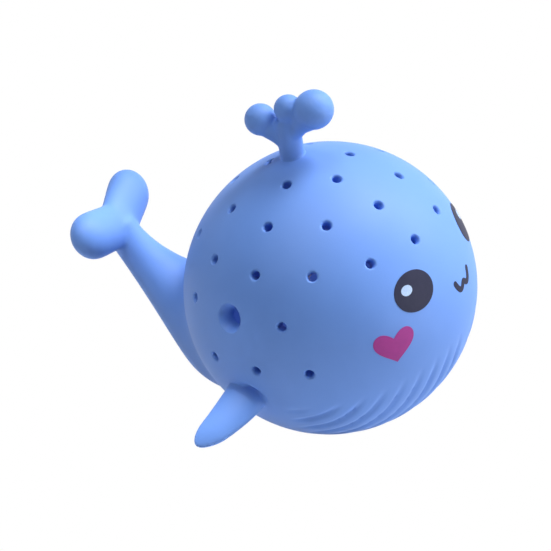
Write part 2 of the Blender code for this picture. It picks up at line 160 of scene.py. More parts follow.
def seat(latitude, longitude, lift=0.0):
    """A frame on the skin: Z straight out, Y towards the crown."""
    out = skin_normal(on_skin(latitude, longitude))
    side = Vector((0, 0, 1)).cross(out).normalized()
    found = Matrix((side, out.cross(side), out)).transposed().to_4x4()
    found.translation = on_skin(latitude, longitude, lift)
    return found


print("crown at", [round(value, 4) for value in TIPPED @ on_skin(90, 0)])

# %% Tipping a piece, and pushing its skin
FINE, COARSE, ROUGH = 7, 5, 4
LEAST_WEIGHT = 0.002


def tip(piece):
    """Tips a piece from the level frame to where the whale rests."""
    piece.matrix_world = TIPPED @ piece.matrix_world
    settle(piece)


def ball(name, fineness, grow=0.0):
    """The plain ball, level, grown or shrunk a little. Its faces are split as often as fineness says."""
    put_down()
    bpy.ops.mesh.primitive_ico_sphere_add(subdivisions=fineness, radius=1.0)
    made = bpy.context.active_object
    made.name = name
    made.scale = BODY_HALF + Vector((grow, grow, grow))
    settle(made)
    return made


def eased(share):
    """A share from 0 to 1 that starts and stops softly."""
    share = min(1.0, max(0.0, share))
    return share * share * (3 - 2 * share)


def pushed(piece, name, weight_of, distance, way="NORMAL"):
    """Gives each vertex a weight, as if painted, and moves the weighted ones with a Displace modifier."""
    group = piece.vertex_groups.new(name=name)
    for vert in piece.data.vertices:
        weight = weight_of(vert.co)
        if weight > LEAST_WEIGHT:
            group.add([vert.index], weight, "REPLACE")
    step = piece.modifiers.new(name, "DISPLACE")
    step.vertex_group = name
    step.direction = way
    step.mid_level = 0.0
    step.strength = distance
    apply_steps(piece)


print("a push is eased from", eased(0), "through", eased(0.5), "to", eased(1))

# %% [markdown]
# ## Body: the throat pleats
# Under the chin the moulding has soft pleats that run from the chin back under the belly and fade out
# at both ends. They could be cut with tubes, but cut edges are too hard for rubber. So each vertex of a
# fine ball gets a weight, as if painted, and a Displace modifier pushes the weighted ones in.

# %% The ball and its pleats
PLEAT_TURN = math.radians(7.5)
PLEATS_A_SIDE = 9
PLEAT_DEPTH = 0.75 * MM
PLEAT_HALF_WIDTH = 0.75 * MM
PLEAT_TOP = 5.0 * MM
PLEAT_TOP_FALL = 6.5 * MM
PLEAT_BACK = -0.6 * MM
PLEAT_TOP_FADE, PLEAT_BACK_FADE = 0.28, 0.3

skin = ball("whale_skin", FINE)


def pleat_weight(point):
    """How deep a point lies in the nearest pleat, from 0 to 1."""
    if point.z > 0 or -point.y < PLEAT_BACK:
        return 0.0
    turn = math.asin(min(1.0, abs(point.x) / BODY_HALF.x))
    nearest = min(PLEATS_A_SIDE, max(1, round(turn / PLEAT_TURN)))
    middle = BODY_HALF.x * math.sin(PLEAT_TURN * nearest)
    share = math.sqrt(1 - (middle / BODY_HALF.x) ** 2)
    aside = (abs(point.x) - middle) / share / PLEAT_HALF_WIDTH
    below = -point.z / (BODY_HALF.z * share)
    first = (PLEAT_TOP + PLEAT_TOP_FALL * (middle / BODY_HALF.x) ** 2) / (BODY_HALF.z * share)
    ahead = (-point.y - PLEAT_BACK) / (BODY_HALF.y * share)
    along = eased((below - first) / PLEAT_TOP_FADE) * eased(ahead / PLEAT_BACK_FADE)
    return along * math.exp(-aside * aside)


pushed(skin, "pleats", pleat_weight, -PLEAT_DEPTH)
print("pleated ball:", len(skin.data.polygons), "faces")

# %% [markdown]
# ## Body: the crown, and the creases over the flippers
# Under the spout the skin swells up softly. Over each flipper the mould leaves a crease, a crescent
# that is deepest over the front of the flipper's root. Both are pushed with the same kind of weight.

# %% Crown and creases
FLIPPER_PLACE = (-17.6, 107.0)
CREASE_DEPTH = 2.2 * MM
CREASE_RADIUS, CREASE_HALF_WIDTH = 3.5 * MM, 0.9 * MM
CREASE_MIDDLE = (1.2 * MM, -0.6 * MM)
CREASE_TURN, CREASE_SPREAD = math.radians(62), math.radians(40)
CREASE_REACH = 9 * MM

to_flipper = {side: seat(FLIPPER_PLACE[0], side * FLIPPER_PLACE[1]).inverted() for side in (1, -1)}


def crease_weight(point):
    """How deep a point lies in the crescent over the nearer flipper."""
    side = 1 if point.x < 0 else -1
    spot = to_flipper[side] @ point
    across, up = side * spot.x - CREASE_MIDDLE[0], spot.y - CREASE_MIDDLE[1]
    if abs(across) > CREASE_REACH or abs(up) > CREASE_REACH:
        return 0.0
    aside = (math.hypot(across, up) - CREASE_RADIUS) / CREASE_HALF_WIDTH
    along = (math.atan2(up, across) - CREASE_TURN) / CREASE_SPREAD
    return math.exp(-aside * aside - along * along)


pushed(skin, "creases", crease_weight, -CREASE_DEPTH)
pushed(skin, "crown", lambda point: crown_rise(point) / CROWN_RISE, CROWN_RISE, "Z")
plain_skin = copy_of(skin, "plain_skin")
print("skin before it is cut:", len(plain_skin.data.polygons), "faces")

# %% [markdown]
# ## Body: the belly, the hollow and the vents
# The soft belly spreads into a small flat where it stands. Inside the ball there is only air, so it is
# hollowed out, and rings of small vents and one wide funnel on the right flank pierce the wall. The
# moulded rims are round, so each vent is cut with a trumpet: a long pin that opens out where it meets
# the skin.

# %% Flat belly and hollow
WALL = 3.5 * MM
GROUND_SIZE = 0.2

tip(skin)
put_down()
bpy.ops.mesh.primitive_cube_add(size=GROUND_SIZE, location=(0, 0, -GROUND_SIZE / 2))
ground = bpy.context.active_object
settle(ground)
cut(skin, "DIFFERENCE", ground)
hollow = ball("hollow", COARSE, -WALL)
tip(hollow)
cut(skin, "DIFFERENCE", hollow)
throw_away(ground, hollow)
print("hollow skin:", len(skin.data.polygons), "faces")

# %% Pins for the vents and the flank funnel
# A profile is pairs of a radius and a height over the skin, in millimetres.
VENT_PROFILE = (
    (0.95, -7),
    (0.95, -0.8),
    (1.0, -0.45),
    (1.1, -0.22),
    (1.27, -0.06),
    (1.5, 0.05),
    (1.9, 0.35),
)
FUNNEL_PROFILE = (
    (1.9, -7),
    (1.9, -3.0),
    (2.2, -2.2),
    (2.6, -1.3),
    (2.95, -0.65),
    (3.25, -0.22),
    (3.6, 0.0),
    (4.3, 0.35),
)


def turned(name, profile, sides):
    """A round tool drawn out from a disc through radius and height pairs, in millimetres."""
    put_down()
    radius, height = profile[0]
    place = (0, 0, height * MM)
    bpy.ops.mesh.primitive_circle_add(vertices=sides, radius=radius * MM, fill_type="NGON", location=place)
    made = bpy.context.active_object
    made.name = name
    settle(made)
    bpy.ops.object.mode_set(mode="EDIT")
    bpy.ops.mesh.select_all(action="SELECT")
    for (wide, low), (wider, high) in zip(profile, profile[1:]):
        bpy.ops.mesh.extrude_region_move(TRANSFORM_OT_translate={"value": (0, 0, (high - low) * MM)})
        bpy.ops.transform.resize(value=(wider / wide, wider / wide, 1), center_override=(0, 0, high * MM))
    bpy.ops.mesh.select_all(action="SELECT")
    bpy.ops.mesh.normals_make_consistent(inside=False)
    bpy.ops.object.mode_set(mode="OBJECT")
    return made


vent_pin = turned("vent_pin", VENT_PROFILE, sides=20)
funnel_pin = turned("funnel_pin", FUNNEL_PROFILE, sides=36)
print("pins:", len(vent_pin.data.polygons), "and", len(funnel_pin.data.polygons), "faces")

# %% Piercing the wall
# Each ring has a latitude, a number of places, a turn, and the longitudes on either side between which it
# is pierced. The funnel takes the fifth place of the fourth ring.
VENT_RINGS = (
    (73.4, 5, -7.0, 0.0, 180.0),
    (54.5, 9, -1.0, 0.0, 180.0),
    (35.6, 13, 1.2, 0.0, 180.0),
    (17.3, 15, 0.5, 80.0, 180.0),
    (-2.0, 17, 1.9, 70.0, 130.0),
)
SHOULDER_VENT = (-22.8, 120.0)
FUNNEL_RING, FUNNEL_PLACE = 3, 4
HARD_EDGE = math.radians(50)

places = [(vent_pin, SHOULDER_VENT[0], side * SHOULDER_VENT[1]) for side in (1, -1)]
for ring, (latitude, count, turn, first, last) in enumerate(VENT_RINGS):
    for number in range(count):
        longitude = (360 / count * (number + 0.5) + turn + 180) % 360 - 180
        wide = (ring, number) == (FUNNEL_RING, FUNNEL_PLACE)
        if first <= abs(longitude) <= last:
            places.append((funnel_pin if wide else vent_pin, latitude, longitude))
pins = []
for pin, latitude, longitude in places:
    made = copy_of(pin, "pin")
    made.matrix_world = TIPPED @ seat(latitude, longitude)
    pins.append(made)
pick_up(*pins)
bpy.ops.object.join()
settle(pins[0])
cut(skin, "DIFFERENCE", pins[0])
print("vents:", len(pins), "and the skin now has", len(skin.data.polygons), "faces")
throw_away(pins[0], vent_pin, funnel_pin)
pick_up(skin)
bpy.ops.object.shade_smooth_by_angle(angle=HARD_EDGE)

# %% [markdown]
# ## Melting pieces together
# The tail, the flippers and the spout are one moulding with the body, with soft fillets where they
# meet. A modeller makes each limb by hand with a plain root inside the body, joins it with a copy of
# the body, remeshes the two into one skin and smooths it, so that the crease between them melts as in
# clay. Only the limb and its fillet are kept, with a skirt that dips under the body's own skin.

# %% Drawing out a bar
BAR_SIDES = 24


def drawn_out(name, sections, sides=BAR_SIDES):
    """A soft bar extruded through sections: each has a centre, a turn about X and two half-widths."""
    put_down()
    centre, turn, half_x, half_y = sections[0]
    bpy.ops.mesh.primitive_circle_add(vertices=sides, radius=1.0, fill_type="NGON", location=centre)
    made = bpy.context.active_object
    made.name = name
    made.scale = (half_x, half_y, 1)
    made.rotation_euler.x = turn
    settle(made)
    bpy.ops.object.mode_set(mode="EDIT")
    bpy.ops.mesh.select_all(action="SELECT")
    for before, after in zip(sections, sections[1:]):
        move = Vector(after[0]) - Vector(before[0])
        grow = (after[2] / before[2], after[3] / before[3], after[3] / before[3])
        bpy.ops.mesh.extrude_region_move(TRANSFORM_OT_translate={"value": move})
        # With no window open, this operator turns the other way.
        bpy.ops.transform.rotate(value=before[1] - after[1], orient_axis="X", center_override=after[0])
        bpy.ops.transform.resize(value=grow, center_override=after[0])
    bpy.ops.mesh.select_all(action="SELECT")
    bpy.ops.mesh.normals_make_consistent(inside=False)
    bpy.ops.object.mode_set(mode="OBJECT")
    return made


print("a bar has", BAR_SIDES, "sides unless it asks for more")

# %% Melting a limb, and keeping its part of the skin
SMOOTHING = 0.5
LIMB_HEIGHT = 0.2 * MM
BURIED_DEPTH = 2 * MM
RIM_SINK, RIM_HEIGHT = 0.12 * MM, 0.5 * MM


def ball_at(name, place, radius):
    """A round tool that takes out the skin near a place."""
    put_down()
    bpy.ops.mesh.primitive_ico_sphere_add(subdivisions=ROUGH, radius=radius, location=place)
    made = bpy.context.active_object
    made.name = name
    settle(made)
    return made


def melted(name, pieces, root, reach, voxel, rounds, soft_rounds=0, is_soft=None):
    """Joins a limb with the skin round its root and smooths it, most of all where it should be soft."""
    around = ball_at("around", root, reach)
    chunk = copy_of(plain_skin, "chunk")
    cut(chunk, "INTERSECT", around)
    throw_away(around)
    made = pieces[0]
    pick_up(*pieces, chunk)
    bpy.ops.object.join()
    made.name = name
    step = made.modifiers.new("one skin", "REMESH")
    step.mode = "VOXEL"
    step.voxel_size = voxel
    apply_steps(made)
    if soft_rounds:
        group = made.vertex_groups.new(name="soft")
        for vert in made.data.vertices:
            group.add([vert.index], is_soft(vert.co), "REPLACE")
        step = made.modifiers.new("soft", "SMOOTH")
        step.vertex_group = "soft"
        step.factor = SMOOTHING
        step.iterations = soft_rounds
    step = made.modifiers.new("melt", "SMOOTH")
    step.factor = SMOOTHING
    step.iterations = rounds
    apply_steps(made)
    return made


def keep_near(piece, root, reach, skirt):
    """Keeps the limb and what is within reach of its root, and tucks the open rim under the skin."""
    pick_up(piece)
    bpy.ops.object.mode_set(mode="EDIT")
    bpy.ops.mesh.select_mode(type="VERT")
    bpy.ops.mesh.select_all(action="DESELECT")
    bpy.ops.object.mode_set(mode="OBJECT")
    for vert in piece.data.vertices:
        height = height_over_skin(vert.co)
        far_or_buried = (vert.co - root).length > reach or height < -BURIED_DEPTH
        vert.select = height < LIMB_HEIGHT and far_or_buried
    bpy.ops.object.mode_set(mode="EDIT")
    bpy.ops.mesh.delete(type="VERT")
    bpy.ops.mesh.select_all(action="SELECT")
    bpy.ops.mesh.delete_loose()
    bpy.ops.mesh.select_non_manifold(extend=False)
    bpy.ops.mesh.extrude_edges_move()
    bpy.ops.object.mode_set(mode="OBJECT")
    for vert in piece.data.vertices:
        sink = skirt if vert.select else RIM_SINK * (1 - eased(height_over_skin(vert.co) / RIM_HEIGHT))
        vert.co -= skin_normal(vert.co) * sink
    bpy.ops.object.shade_smooth()


print("each limb is smoothed by", SMOOTHING, "and its rim sinks by", RIM_SINK)

# %% [markdown]
# ## Tail and flukes
# The tail is a soft cone that leaves the lower back and bends upwards, and ends in two puffy flukes
# like the end of a bone. The cone is one disc drawn out along a bend. One fluke is drawn out upright,
# and a copy of it is laid out to each side.

# %% Tail
TAIL_LATITUDE = -15.8
TAIL_LENGTH = 28.9 * MM
TAIL_ROOT_RADIUS, TAIL_TIP_RADIUS, TAIL_FLARE_RADIUS = 10.7 * MM, 3.85 * MM, 13.0 * MM
TAIL_TAPER, TAIL_FLARE_BLEND = 2.17, 12
TAIL_RISE_START, TAIL_RISE_END = math.radians(31), math.radians(62.5)
TAIL_ROOT_DEPTH, TAIL_ROOT_CLOSING = 19 * MM, 0.5
TAIL_SPREAD, TAIL_SPREAD_TAPER = 2.6 * MM, 1.8
TAIL_STEPS, TAIL_SIDES = 24, 32


def tail_section(distance):
    """The tail's centre, its turn about X and its two half-widths at a distance from the body."""
    bend = (TAIL_RISE_END - TAIL_RISE_START) / TAIL_LENGTH
    rise = TAIL_RISE_START + bend * distance
    across = (math.sin(rise) - math.sin(TAIL_RISE_START)) / bend
    up = (math.cos(TAIL_RISE_START) - math.cos(rise)) / bend
    left_over = max(0.0, 1 - distance / TAIL_LENGTH)
    radius = TAIL_TIP_RADIUS + (TAIL_ROOT_RADIUS - TAIL_TIP_RADIUS) * left_over**TAIL_TAPER
    centre = on_skin(TAIL_LATITUDE, 180.0) + Vector((0, across, up))
    radius /= (1 + (radius / TAIL_FLARE_RADIUS) ** TAIL_FLARE_BLEND) ** (1 / TAIL_FLARE_BLEND)
    # Inside the body the root narrows over its deepest third, and its spread fades over its deepest half.
    buried = 1 + distance / TAIL_ROOT_DEPTH
    radius *= 1 - TAIL_ROOT_CLOSING * (1 - eased(3 * buried))
    spread = TAIL_SPREAD * left_over**TAIL_SPREAD_TAPER * eased(2 * buried)
    return centre, rise - math.pi / 2, radius + spread, radius


tail_run = TAIL_ROOT_DEPTH + TAIL_LENGTH
sections = [tail_section(tail_run * i / TAIL_STEPS - TAIL_ROOT_DEPTH) for i in range(TAIL_STEPS + 1)]
tail = drawn_out("tail_skin", sections, TAIL_SIDES)
tail_tip = sections[-1][0]
print("tail tip at", [round(value, 4) for value in tail_tip])

# %% Flukes
FLUKE_REACH = 16.0 * MM
FLUKE_LEAN = math.radians(17)
FLUKE_WIDTH, FLUKE_NECK, FLUKE_THICKNESS = 11.0 * MM, 10.6 * MM, 8.0 * MM
FLUKE_NECK_END, FLUKE_SWOLLEN = 0.1, 0.62
FLUKE_NECK_SHARE, FLUKE_SWELL_SHARE = 0.8, 0.2
FLUKE_SHARES = (0, 0.1, 0.2, 0.3, 0.4, 0.5, 0.62, 0.72, 0.81, 0.88, 0.94, 0.98, 0.997)


def closing(share, start):
    """How much of a form is left as it closes to a round end."""
    return math.sqrt(max(0.0, 1 - max(0.0, (share - start) / (1 - start)) ** 2))


def fluke_section(share):
    """A section of a fluke: share is 0 in the tail's tip and 1 at the fluke's end."""
    swell = eased((share - FLUKE_NECK_END) / (FLUKE_SWOLLEN - FLUKE_NECK_END))
    close = closing(share, FLUKE_SWOLLEN)
    half_x = (FLUKE_NECK + (FLUKE_WIDTH - FLUKE_NECK) * swell) / 2 * close
    half_y = FLUKE_THICKNESS * (FLUKE_NECK_SHARE + FLUKE_SWELL_SHARE * swell) / 2 * close
    return (0, 0, FLUKE_REACH * share), 0.0, half_x, half_y


fluke = drawn_out("fluke", [fluke_section(share) for share in FLUKE_SHARES])
along = Vector((0, math.cos(TAIL_RISE_END), math.sin(TAIL_RISE_END)))
flukes = []
for side in (1, -1):
    out = Vector((-side * math.cos(FLUKE_LEAN), 0, 0)) + along * math.sin(FLUKE_LEAN)
    face = Vector((-side, 0, 0)).cross(along)
    made = copy_of(fluke, "fluke_copy")
    made.matrix_world = Matrix((face.cross(out), face, out)).transposed().to_4x4()
    made.location = tail_tip
    settle(made)
    flukes.append(made)
throw_away(fluke)
print("flukes:", len(flukes), "of", len(flukes[0].data.polygons), "faces")

# %% Tail and flukes as one skin
TAIL_SOFT_HEIGHT, TAIL_SOFT_FADE = 3 * MM, 6 * MM


def tail_softness(point):
    """1 at the crease where the tail leaves the ball, and 0 further out."""
    return eased(1 - (height_over_skin(point) - TAIL_SOFT_HEIGHT) / TAIL_SOFT_FADE)


tail = melted(
    "tail_skin",
    [tail, *flukes],
    on_skin(TAIL_LATITUDE, 180.0),
    reach=30 * MM,
    voxel=0.5 * MM,
    rounds=14,
    soft_rounds=250,
    is_soft=tail_softness,
)
keep_near(tail, on_skin(TAIL_LATITUDE - 10, 180.0), reach=22 * MM, skirt=2.5 * MM)
tip(tail)
print("tail and flukes:", len(tail.data.polygons), "faces")

# %% [markdown]
# ## Flippers
# Each flipper is a small soft wing that leaves the lower flank, sweeps back and droops a little. It is
# drawn out once in its own frame, with its chord along X, and each side gets a copy.

# %% Flippers
FLIPPER_REACH, FLIPPER_SWEEP, FLIPPER_DROOP = 14.0 * MM, 4.6 * MM, 2.5 * MM
FLIPPER_TWIST = math.radians(20)
FLIPPER_ROOT = (9.4 * MM, 5.0 * MM)
FLIPPER_TIP = (5.2 * MM, 2.6 * MM)
FLIPPER_TAPER = (1.4, 0.7)
FLIPPER_CLOSING = 0.7
FLIPPER_LIFT = 0.5 * MM
FLIPPER_SIDES = 28
FLIPPER_SHARES = (-0.2, 0, 0.1, 0.2, 0.3, 0.42, 0.54, 0.64, 0.74, 0.82, 0.89, 0.945, 0.98, 0.997)


def flipper_section(share):
    """A section of the wing: share is 0 at the skin, 1 at the tip and under 0 inside the body."""
    spread, close = max(0.0, share), closing(share, FLIPPER_CLOSING)
    half_x, half_y = (
        (FLIPPER_ROOT[i] + (FLIPPER_TIP[i] - FLIPPER_ROOT[i]) * spread ** FLIPPER_TAPER[i]) / 2 * close
        for i in range(2)
    )
    back = FLIPPER_SWEEP * math.cos(FLIPPER_TWIST) - FLIPPER_DROOP * math.sin(FLIPPER_TWIST)
    down = FLIPPER_DROOP * math.cos(FLIPPER_TWIST) + FLIPPER_SWEEP * math.sin(FLIPPER_TWIST)
    centre = Vector((back, -down, 0)) * spread**2 + Vector((0, 0, FLIPPER_REACH * share))
    return centre, 0.0, half_x, half_y


wing = drawn_out("wing", [flipper_section(share) for share in FLIPPER_SHARES], FLIPPER_SIDES)
flippers = {}
for word, side in (("right", 1), ("left", -1)):
    root = seat(FLIPPER_PLACE[0], side * FLIPPER_PLACE[1], FLIPPER_LIFT)
    ring_way, up, out = (root.to_3x3().col[i].copy() for i in range(3))
    back = ring_way * -side
    chord = back * math.cos(FLIPPER_TWIST) + up * math.sin(FLIPPER_TWIST)
    upper = up * math.cos(FLIPPER_TWIST) - back * math.sin(FLIPPER_TWIST)
    made = copy_of(wing, f"{word}_flipper_skin")
    place = Matrix((chord, upper, out)).transposed().to_4x4()
    place.translation = root.translation
    made.matrix_world = place
    settle(made)
    made = melted(made.name, [made], root.translation, reach=9 * MM, voxel=0.25 * MM, rounds=10)
    keep_near(made, root.translation, reach=5.9 * MM, skirt=1.5 * MM)
    tip(made)
    flippers[word] = made
    print(made.name, len(made.data.polygons), "faces")
throw_away(wing)

# %% [markdown]
# ## Spout
# On the crown stands a short stem that opens into a fan of three drops, with soft creases between them.
# Each drop is a disc drawn out along its own height and leaned over, and all are melted with the stem.

# %% Spout
SPOUT_LATITUDE = 83.4
STEM_RADIUS = 2.75 * MM
LOBE_NECK = 2.35 * MM
LOBE_NECK_END = 0.4
LOBE_TURNS = (50, 62, 76, 90, 103, 116, 130, 144, 158, 172)
FOOT_LIFT = 0.6 * MM
# The stem is pairs of a height in millimetres and a share of its radius.
STEM_SHAPE = ((-4, 1.1), (0, 1.0), (2, 1.0), (4, 1.0), (6, 1.0), (8, 0.9))
# Each drop is how far ahead of the stem its middle is and how high, its radius, and the height at which
# it leaves the stem, in millimetres.
DROPS = ((6.85, 10.8, 4.4, 4.2), (0.8, 10.6, 3.15, 4.2), (-6.25, 7.5, 3.55, 2.4))


def round_section(height, radius):
    """A round, level section of a bar that is drawn straight up."""
    return (0, 0, height), 0.0, radius, radius


foot = on_skin(SPOUT_LATITUDE, 180.0, FOOT_LIFT)
stem_sections = [round_section(height * MM, STEM_RADIUS * share) for height, share in STEM_SHAPE]
stem = drawn_out("spout_skin", stem_sections)
stem.location = foot
settle(stem)
drops = []
for ahead, high, radius, root in DROPS:
    rise, radius = (high - root) * MM, radius * MM
    reach = math.hypot(ahead * MM, rise)
    drop_sections = [round_section(0, LOBE_NECK), round_section(reach * LOBE_NECK_END, LOBE_NECK)]
    for degrees in LOBE_TURNS:
        turn = math.radians(degrees)
        drop_sections.append(round_section(reach - radius * math.cos(turn), radius * math.sin(turn)))
    made = drawn_out("drop", drop_sections)
    made.rotation_euler.x = math.atan2(ahead * MM, rise)
    made.location = foot + Vector((0, 0, root * MM))
    settle(made)
    drops.append(made)
spout = melted("spout_skin", [stem, *drops], foot, reach=9 * MM, voxel=0.25 * MM, rounds=10)
keep_near(spout, foot, reach=5.5 * MM, skirt=1.5 * MM)
tip(spout)
throw_away(plain_skin)
print("spout:", len(spout.data.polygons), "faces")

# %% [markdown]
# ## The printed face
# Eyes, glints, hearts and mouth are ink on the skin, so they are films that follow the ball. An outline
# is pulled through the skin as a prism, and what a slightly larger ball shares with it, less a slightly
# smaller ball, is the film. It stands a little less than a tenth of a millimetre proud, as pad-printed
# ink does.

# %% Films
INK_PROUD = 0.08 * MM
INK_DEPTH = 0.30 * MM
PRISM_HALF = 5 * MM

ink_face = ball("ink_face", FINE, INK_PROUD)
ink_back = ball("ink_back", FINE, -INK_DEPTH)


def pulled(name, outline, place):
    """A flat outline pulled through the skin as a prism."""
    mesh = bpy.data.meshes.new(name)
    mesh.from_pydata([(x, y, -PRISM_HALF) for x, y in outline], [], [range(len(outline))])
    made = bpy.data.objects.new(name, mesh)
    bpy.context.scene.collection.objects.link(made)
    pick_up(made)
    bpy.ops.object.mode_set(mode="EDIT")
    bpy.ops.mesh.select_all(action="SELECT")
    bpy.ops.mesh.extrude_region_move(TRANSFORM_OT_translate={"value": (0, 0, 2 * PRISM_HALF)})
    bpy.ops.mesh.select_all(action="SELECT")
    bpy.ops.mesh.normals_make_consistent(inside=False)
    bpy.ops.object.mode_set(mode="OBJECT")
    made.matrix_world = place
    settle(made)
    return made


def film(name, outline, place, window=None):
    """The part of the skin inside a flat outline, as a thin film, less a window."""
    made = pulled(name, outline, place)
    cut(made, "INTERSECT", ink_face)
    cut(made, "DIFFERENCE", ink_back)
    if window:
        cut(made, "DIFFERENCE", window)
        throw_away(window)
    tip(made)
    bpy.ops.object.shade_smooth_by_angle(angle=HARD_EDGE)
    return made


print("ink stands", INK_PROUD, "proud of the skin")

# %% Outlines of the prints
HEART_BLUNTNESS, HEART_ROUNDING = 2.2, 8
HEART_CURVE_HEIGHT, HEART_CURVE_DROP = 29, 2.5
CAP_STEPS = 8


def disc(width, height, sides=64):
    """The outline of an ellipse."""
    turns = [math.tau * i / sides for i in range(sides)]
    return [(width / 2 * math.cos(turn), height / 2 * math.sin(turn)) for turn in turns]


def heart(width, height, count=96):
    """The usual heart curve in height, with its own bluntness in width and its corners rounded."""
    found = []
    for i in range(count):
        turn = math.tau * i / count
        level = 13 * math.cos(turn) - 5 * math.cos(2 * turn) - 2 * math.cos(3 * turn) - math.cos(4 * turn)
        aside = math.copysign(abs(math.sin(turn)) ** HEART_BLUNTNESS, -math.sin(turn))
        found.append(Vector((aside * width / 2, (level + HEART_CURVE_DROP) / HEART_CURVE_HEIGHT * height)))
    for _ in range(HEART_ROUNDING):
        found = [(found[i - 1] + 2 * found[i] + found[(i + 1) % count]) / 4 for i in range(count)]
    return [tuple(point) for point in found]


def stroke(points, half_width):
    """The outline of a pen line with round ends."""
    left, right = [], []
    for i, point in enumerate(points):
        ahead = (points[min(i + 1, len(points) - 1)] - points[max(i - 1, 0)]).normalized()
        beside = Vector((-ahead.y, ahead.x)) * half_width
        left.append(point + beside)
        right.append(point - beside)
    caps = []
    for end, back in ((points[-1], points[-2]), (points[0], points[1])):
        ahead = (end - back).normalized()
        beside = Vector((-ahead.y, ahead.x))
        turns = [math.pi / 2 - math.pi * step / CAP_STEPS for step in range(1, CAP_STEPS)]
        ways = [ahead * math.cos(turn) + beside * math.sin(turn) for turn in turns]
        caps.append([end + way * half_width for way in ways])
    return [tuple(point) for point in (*left, *caps[0], *reversed(right), *caps[1])]


print("a heart has", len(heart(1, 1)), "points and a disc has", len(disc(1, 1)))

# %% Eyes, glints and hearts
EYE_SIZE, EYE_PLACE = (10.5 * MM, 8.9 * MM), (19.4, 28.2)
GLINT_SIZE, GLINT_PLACE = (2.85 * MM, 2.3 * MM), (21.0, 31.7)
HEART_SIZE, HEART_PLACE = (9.9 * MM, 7.6 * MM), (2.0, 42.4)

inks = {}
for word, side in (("right", 1), ("left", -1)):
    glint_seat = seat(GLINT_PLACE[0], side * GLINT_PLACE[1])
    window = pulled("window", disc(*GLINT_SIZE), glint_seat)
    eye = film(f"{word}_eye_ink", disc(*EYE_SIZE), seat(EYE_PLACE[0], side * EYE_PLACE[1]), window)
    glint = film(f"{word}_glint_ink", disc(*GLINT_SIZE), glint_seat)
    blush = film(f"{word}_heart_ink", heart(*HEART_SIZE), seat(HEART_PLACE[0], side * HEART_PLACE[1]))
    inks[f"{word}_eye"], inks[f"{word}_eye_glint"], inks[f"{word}_heart"] = eye, glint, blush
print("face prints:", sorted(inks))

# %% Mouth
MOUTH_LATITUDE, MOUTH_HALF_ANGLE, MOUTH_RISE = 6.9, 6.3, 3.8
MOUTH_HALF_LINE = 0.65 * MM
MOUTH_ROUNDING = 0.16
MOUTH_STEPS = 40

mouth_seat = seat(MOUTH_LATITUDE, 0.0)
line = []
for i in range(MOUTH_STEPS + 1):
    share = 2 * i / MOUTH_STEPS - 1
    away = math.hypot(share, MOUTH_ROUNDING)
    latitude = MOUTH_LATITUDE + MOUTH_RISE * (2 * away - 1) ** 2
    line.append((mouth_seat.inverted() @ on_skin(latitude, MOUTH_HALF_ANGLE * share)).to_2d())
inks["mouth"] = film("mouth_ink", stroke(line, MOUTH_HALF_LINE), mouth_seat)
throw_away(ink_face, ink_back)
print("mouth:", len(inks["mouth"].data.polygons), "faces")

# %% [markdown]
# ## Rubber and ink
# The body is soft blue rubber, moulded in one colour: matt, a little uneven in tone, with a very fine
# grain. The inks are flat colours laid on by pad printing, a little patchy. Both need the same two
# effects, an uneven tone and a fine grain, so these are one node group that each material sets in its
# own way.

# %% The shared finish group
PATCH_DETAIL, GRAIN_DETAIL = 3.0, 2.0


def finish_group():
    """The node group: two tones mixed in patches, and a grain that gives roughness and height."""
    group = bpy.data.node_groups.new("uneven moulded finish", "ShaderNodeTree")
    sockets = group.interface
    sockets.new_socket("Low", in_out="INPUT", socket_type="NodeSocketColor")
    sockets.new_socket("High", in_out="INPUT", socket_type="NodeSocketColor")
    for name in ("Patch Scale", "Grain Scale", "Rough Low", "Rough High"):
        sockets.new_socket(name, in_out="INPUT", socket_type="NodeSocketFloat")
    sockets.new_socket("Color", in_out="OUTPUT", socket_type="NodeSocketColor")
    sockets.new_socket("Roughness", in_out="OUTPUT", socket_type="NodeSocketFloat")
    sockets.new_socket("Height", in_out="OUTPUT", socket_type="NodeSocketFloat")
    nodes, links = group.nodes, group.links
    given, sent = nodes.new("NodeGroupInput"), nodes.new("NodeGroupOutput")
    place = nodes.new("ShaderNodeTexCoord")
    patch, grain = nodes.new("ShaderNodeTexNoise"), nodes.new("ShaderNodeTexNoise")
    patch.inputs["Detail"].default_value = PATCH_DETAIL
    grain.inputs["Detail"].default_value = GRAIN_DETAIL
    links.new(place.outputs["Object"], patch.inputs["Vector"])
    links.new(place.outputs["Object"], grain.inputs["Vector"])
    links.new(given.outputs["Patch Scale"], patch.inputs["Scale"])
    links.new(given.outputs["Grain Scale"], grain.inputs["Scale"])
    tone = nodes.new("ShaderNodeMix")
    tone.data_type = "RGBA"
    links.new(patch.outputs["Fac"], tone.inputs["Factor"])
    links.new(given.outputs["Low"], tone.inputs["A"])
    links.new(given.outputs["High"], tone.inputs["B"])
    links.new(tone.outputs["Result"], sent.inputs["Color"])
    rough = nodes.new("ShaderNodeMapRange")
    links.new(grain.outputs["Fac"], rough.inputs["Value"])
    links.new(given.outputs["Rough Low"], rough.inputs["To Min"])
    links.new(given.outputs["Rough High"], rough.inputs["To Max"])
    links.new(rough.outputs["Result"], sent.inputs["Roughness"])
    links.new(grain.outputs["Fac"], sent.inputs["Height"])
    return group


uneven = finish_group()
print("finish group:", len(uneven.nodes), "nodes")

# %% Materials
RELIEF_DEPTH = 0.05 * MM
INK_FINISH = {"grain": 3000, "rough": (0.45, 0.55), "bump": 0.2, "gloss": 0.15}


